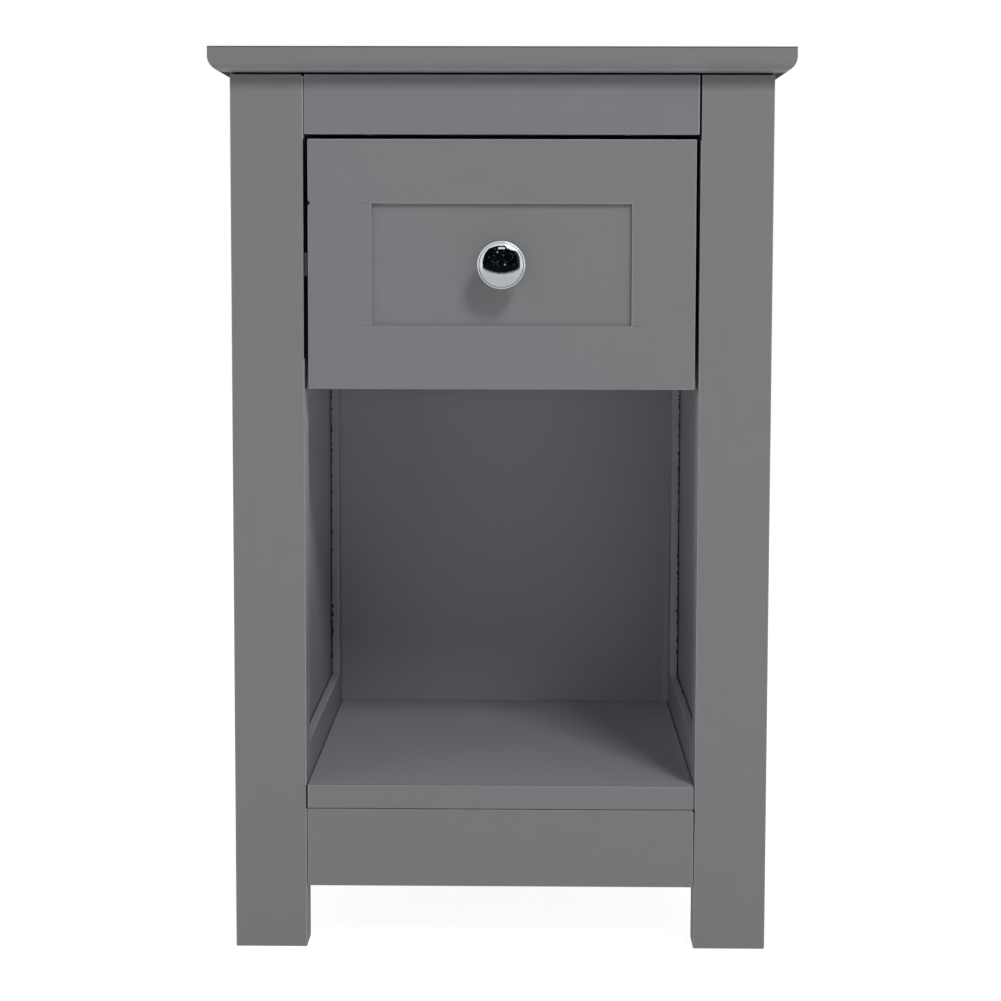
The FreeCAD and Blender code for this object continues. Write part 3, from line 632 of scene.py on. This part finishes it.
# Millimetres out from the drawer panel, and the radius there
KNOB_OUTLINE = [
    (0.0, 8.5), (1.3, 8.5), (1.8, 8.3), (2.05, 7.9), (2.1, 7.3), (2.4, 6.8), (3.2, 6.25), (4.4, 5.8),
    (5.8, 5.55), (7.6, 5.5), (9.4, 5.75), (11.1, 6.4), (12.6, 7.5), (14.2, 9.1), (15.6, 10.95),
    (16.8, 12.6), (17.8, 13.95), (18.7, 14.9), (19.5, 15.5), (20.1, 15.78), (20.7, 15.86), (21.2, 15.84),
    (21.75, 15.8), (22.0, 15.73), (22.2, 15.6), (22.45, 15.3), (22.68, 14.98), (22.86, 14.74), (22.93, 14.62),
    (22.94, 14.56), (22.81, 14.34), (22.79, 14.28), (22.81, 14.22), (22.85, 14.16),
]
# The low dome in front, down to half a millimetre from its middle
KNOB_LENGTH = 26.8
DOME_RADIUS = 27.5
DOME_RINGS = [14.1 - ring * 0.4 for ring in range(35)]
KNOB_SIDES = 144


def start_edit(name, material):
    """Names the new object, gives it its finish and opens it for shaping with nothing selected."""
    piece = bpy.context.object
    piece.name = piece.data.name = name
    piece.data.materials.append(material)
    bpy.ops.object.mode_set(mode="EDIT")
    bpy.ops.mesh.select_all(action="DESELECT")
    return piece


def choose_edges(piece, test):
    """Selects the edges whose two ends pass a test, and nothing else."""
    mesh = bmesh.from_edit_mesh(piece.data)
    for face in mesh.faces:
        face.select_set(False)
    for edge in mesh.edges:
        edge.select_set(False)
    for edge in mesh.edges:
        edge.select_set(test(*(end.co for end in edge.verts)))
    bmesh.update_edit_mesh(piece.data)


def finish_piece(piece, body, replaced, angle):
    """Turns the faces outwards, smooths them up to an angle in degrees and hands the piece to its body."""
    bpy.ops.mesh.select_all(action="SELECT")
    bpy.ops.mesh.remove_doubles(threshold=0.01 * MM)
    bpy.ops.mesh.normals_make_consistent(inside=False)
    bpy.ops.object.mode_set(mode="OBJECT")
    bpy.ops.object.transform_apply(location=True, rotation=True, scale=True)
    bpy.ops.object.shade_smooth_by_angle(angle=math.radians(angle))
    piece.select_set(False)
    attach(piece, body)
    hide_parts(replaced)


def near(a, b):
    return abs(a - b) < 0.1 * MM


def model_top():
    """The top board: a small round on its upper edges and a large one under the front and the sides."""
    low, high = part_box("top_board")
    bpy.ops.mesh.primitive_cube_add(size=1.0, location=(low + high) / 2, scale=high - low)
    bpy.ops.object.transform_apply(location=True, rotation=True, scale=True)
    top = start_edit("top_board_shaped", top_paint)

    def under_front_or_sides(a, b):
        return near(a.z, low.z) and near(b.z, low.z) and not near(a.y + b.y, 2 * high.y)

    choose_edges(top, under_front_or_sides)
    bpy.ops.mesh.bevel(offset=TOP_LOWER_ROUND, segments=10, profile=0.5)
    choose_edges(top, lambda a, b: near(a.z, high.z) and near(b.z, high.z))
    bpy.ops.mesh.bevel(offset=TOP_UPPER_ROUND, segments=4, profile=0.5)
    finish_piece(top, "carcass", "top_board", 25.0)


def model_knob():
    """The turned knob: flange, waist, flared head with a rolled rim, a fine groove and a low dome."""
    low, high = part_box("knob")
    middle_z = (low.z + high.z) / 2
    bpy.ops.mesh.primitive_circle_add(
        vertices=KNOB_SIDES,
        radius=KNOB_OUTLINE[0][1] * MM,
        fill_type="NGON",
        location=(0, high.y, middle_z),
        rotation=(math.radians(90), 0, 0),
    )
    bpy.ops.object.transform_apply(location=True, rotation=True, scale=True)
    knob = start_edit("knob_turned", chrome)
    bpy.ops.mesh.select_all(action="SELECT")
    reach, radius = KNOB_OUTLINE[0]
    dome_middle = KNOB_LENGTH - DOME_RADIUS
    dome = [(dome_middle + math.sqrt(DOME_RADIUS**2 - ring**2), ring) for ring in DOME_RINGS]
    for next_reach, next_radius in KNOB_OUTLINE[1:] + dome:
        step = (0, -(next_reach - reach) * MM, 0)
        bpy.ops.mesh.extrude_region_move(TRANSFORM_OT_translate={"value": step})
        scale = next_radius / radius
        ring_middle = (0, high.y - next_reach * MM, middle_z)
        bpy.ops.transform.resize(value=(scale, scale, scale), center_override=ring_middle)
        reach, radius = next_reach, next_radius
    bpy.ops.mesh.merge(type="CENTER")
    finish_piece(knob, "drawer", "knob", 60.0)


bpy.ops.object.select_all(action="DESELECT")
model_top()
model_knob()


# Stage

WHITE = (1.0, 1.0, 1.0, 1.0)
ROOM_LIGHT = 0.30
ROOM_IN_METAL = 0.93
FLOOR_IN_METAL = 0.62
FLOOR_CARD = 0.75
FLOOR_SHADOW = 0.25
FLOOR_GLOW = 0.94

# The dark studio that metal sees, in widths and heights at a distance of one, and its colours
NIGHT = (0.002, 0.002, 0.003, 1.0)
CLUTTER = (0.34, 0.44, 0.52, 1.0)
PALE = (0.97, 0.99, 1.0)
DARK_SIDE = 1.38
DARK_HEIGHT = 1.43
DARK_FOOT = 0.53
DARK_CORNERS = 3.6
RAGGED = 0.55
STRIP_LAMP_SIDE = 0.21
STRIP_LAMP_LOW = 0.98
STRIP_LAMP_HIGH = 1.18
NEAR_LAMP = {"right": 0.17, "high": 0.02, "radius": 0.04, "light": 0.45}
FAR_LAMP = {"right": -0.23, "high": 0.72, "radius": 0.0374, "light": 0.8}
WINDOW_TURN = 0.34
WINDOW_SPREAD = 0.22
WINDOW_REACH = 0.75

# The height that the lights aim at
LIT_HEIGHT = 0.35
# Each light's turn and rise in degrees, distance, width and height in metres, and watts
LIGHTS = {
    "key_light": (24.8, 41.0, 4.5, 1.1, 1.0, 85.5),
    "front_fill": (0.0, 0.5, 3.0, 2.6, 0.7, 18.0),
    "side_fill": (45.0, 22.0, 3.5, 2.4, 1.6, 5.6),
    "left_fill": (-45.0, 22.0, 3.5, 2.4, 1.6, 7.0),
    "far_left_fill": (-140.0, 30.0, 3.0, 1.6, 1.6, 12.0),
    "far_right_fill": (140.0, 30.0, 3.0, 1.6, 1.6, 12.0),
}

LENS = 79.83
SENSOR = 36.0
SHIFT = -0.06
CAMERA_PLACE = (0.0169, -1.5939, 0.4682)
CAMERA_PITCH = -4.882
CAMERA_YAW = 0.691
CAMERA_ROLL = -0.134


def round_lamp(across, upright, right, high, radius, light):
    """A round lamp's light inside its edge, and nothing outside it."""
    return ((across - right) ** 2.0 + (upright - high) ** 2.0).below(radius**2) * light


def studio_in_metal(recipe, sideways, ahead, up, bright):
    """What polished metal sees: pale all round, and in front a dark studio with lamps and faint clutter."""
    depth = ahead.larger(0.001)
    right = sideways / depth
    wide = abs(right)
    high = up / depth
    ragged = (recipe.noise(7.0, 5.0) - 0.5) * RAGGED
    oval = (wide / DARK_SIDE) ** DARK_CORNERS + (abs(high) / DARK_HEIGHT) ** DARK_CORNERS + ragged
    foot = high + DARK_FOOT - wide * wide * 0.08 + ragged * 0.5
    dark = ((1.0 - oval) * 6.0).clipped() * (foot * (7.0 - wide * 2.4)).clipped()
    specks = ((recipe.noise(15.0, 3.0) - 0.62) * 6.0).clipped()
    haze = ((oval - 0.3) * 1.2).clipped() * right.above(0.3) * recipe.noise(9.0, 4.0) * 0.5
    night = recipe.blended((specks + haze).clipped(), NIGHT, CLUTTER)
    strip_lamp = wide.below(STRIP_LAMP_SIDE) * high.above(STRIP_LAMP_LOW) * high.below(STRIP_LAMP_HIGH)
    round_lamps = round_lamp(right, high, **NEAR_LAMP) + round_lamp(right, high, **FAR_LAMP)
    studio = recipe.blended(strip_lamp + round_lamps, night, WHITE)
    turned = (wide / (wide + abs(high) + 0.001) - WINDOW_TURN) / WINDOW_SPREAD
    reach = (1.0 - turned * turned).clipped() * WINDOW_REACH
    upper_right = right.above(0.0) * high.above(0.3)
    window = ((oval - 1.0 + reach) * 5.0).clipped() * (reach * 4.0).clipped() * upper_right
    pale = recipe.scaled(PALE, window * 0.5 + bright)
    return recipe.blended(dark * (1.0 - window), pale, studio)


def open_recipe(tree, place):
    """An empty tree to write a stage surface in."""
    tree.nodes.clear()
    return Recipe(tree, place)


def chosen(recipe, ray, first, second):
    """The first surface, or the second for one kind of ray."""
    asked = recipe.node("ShaderNodeLightPath", output=ray)
    return recipe.node("ShaderNodeMixShader", inputs={0: asked, 1: first, 2: second})


def paint_world():
    """White to the eye, a plain room for light, and the studio for metal."""
    world = bpy.data.worlds.new("studio")
    bpy.context.scene.world = world
    world.use_nodes = True
    sky = open_recipe(world.node_tree, "Generated")
    white = sky.node("ShaderNodeBackground", inputs={"Color": WHITE})
    room = sky.node("ShaderNodeBackground", inputs={"Color": WHITE, "Strength": ROOM_LIGHT})
    seen = studio_in_metal(sky, sky.along("x"), sky.along("y") * -1.0, sky.along("z"), ROOM_IN_METAL)
    mirrored = sky.node("ShaderNodeBackground", inputs={"Color": seen})
    surface = chosen(sky, "Is Camera Ray", chosen(sky, "Is Glossy Ray", room, mirrored), white)
    sky.node("ShaderNodeOutputWorld", inputs={"Surface": surface})


def lay_floor():
    """A wide white floor that takes only a faint shadow to the eye and bounces light like white card; to
    metal it glows with a painted studio.
    """
    bpy.ops.mesh.primitive_plane_add(size=60.0, location=(0, 0, 0))
    floor = bpy.context.object
    floor.name = "floor"
    material = bpy.data.materials.new("white_floor")
    material.use_nodes = True
    sweep = open_recipe(material.node_tree, "Object")
    card, thin = [
        sweep.node("ShaderNodeBsdfDiffuse", inputs={"Color": (value, value, value, 1.0)})
        for value in (FLOOR_CARD, FLOOR_SHADOW)
    ]
    glow = sweep.node("ShaderNodeEmission", inputs={"Strength": FLOOR_GLOW})
    seen = sweep.node("ShaderNodeAddShader", inputs={0: thin, 1: glow})
    ahead = cad_low.y - sweep.along("y")
    far = sweep.node("ShaderNodeVectorMath", {"operation": "LENGTH"}, {0: sweep.place}, output="Value")
    bright = far.rise(0.7, 4.7) * (ROOM_IN_METAL - FLOOR_IN_METAL) + FLOOR_IN_METAL
    # Painted reflection: to glossy rays the floor glows with the dark studio, paler further out
    colour = studio_in_metal(sweep, sweep.along("x"), ahead, -KNOB_HEIGHT, bright)
    mirrored = sweep.node("ShaderNodeEmission", inputs={"Color": colour})
    surface = chosen(sweep, "Is Camera Ray", chosen(sweep, "Is Glossy Ray", card, mirrored), seen)
    sweep.node("ShaderNodeOutputMaterial", inputs={"Surface": surface})
    floor.data.materials.append(material)


def hang_light(name, turn, rise, distance, wide, tall, energy):
    """A soft light seen from the table at a turn to the right and a rise, in degrees."""
    target = Vector((0, cad_low.y, LIT_HEIGHT))
    turn, rise = math.radians(turn), math.radians(rise)
    way = Vector((math.sin(turn) * math.cos(rise), -math.cos(turn) * math.cos(rise), math.sin(rise)))
    light = bpy.data.lights.new(name, "AREA")
    light.shape = "ELLIPSE"
    light.size = wide
    light.size_y = tall
    light.energy = energy
    lamp = bpy.data.objects.new(name, light)
    lamp.location = target + way * distance
    lamp.rotation_euler = way.to_track_quat("Z", "Y").to_euler()
    lamp.visible_glossy = False
    bpy.context.collection.objects.link(lamp)


def set_camera():
    """A longish lens at the drawer's height, a little right of the middle, tilted down and shifted."""
    camera = bpy.data.cameras.new("camera")
    camera.lens = LENS
    camera.sensor_width = SENSOR
    camera.shift_y = SHIFT
    camera.clip_end = 100.0
    holder = bpy.data.objects.new("camera", camera)
    holder.location = CAMERA_PLACE
    holder.rotation_mode = "XYZ"
    holder.rotation_euler = [math.radians(a) for a in (90.0 + CAMERA_PITCH, CAMERA_ROLL, CAMERA_YAW)]
    bpy.context.collection.objects.link(holder)
    bpy.context.scene.camera = holder


paint_world()
lay_floor()
for name, setting in LIGHTS.items():
    hang_light(name, *setting)
set_camera()
bpy.context.scene.view_settings.view_transform = "Standard"
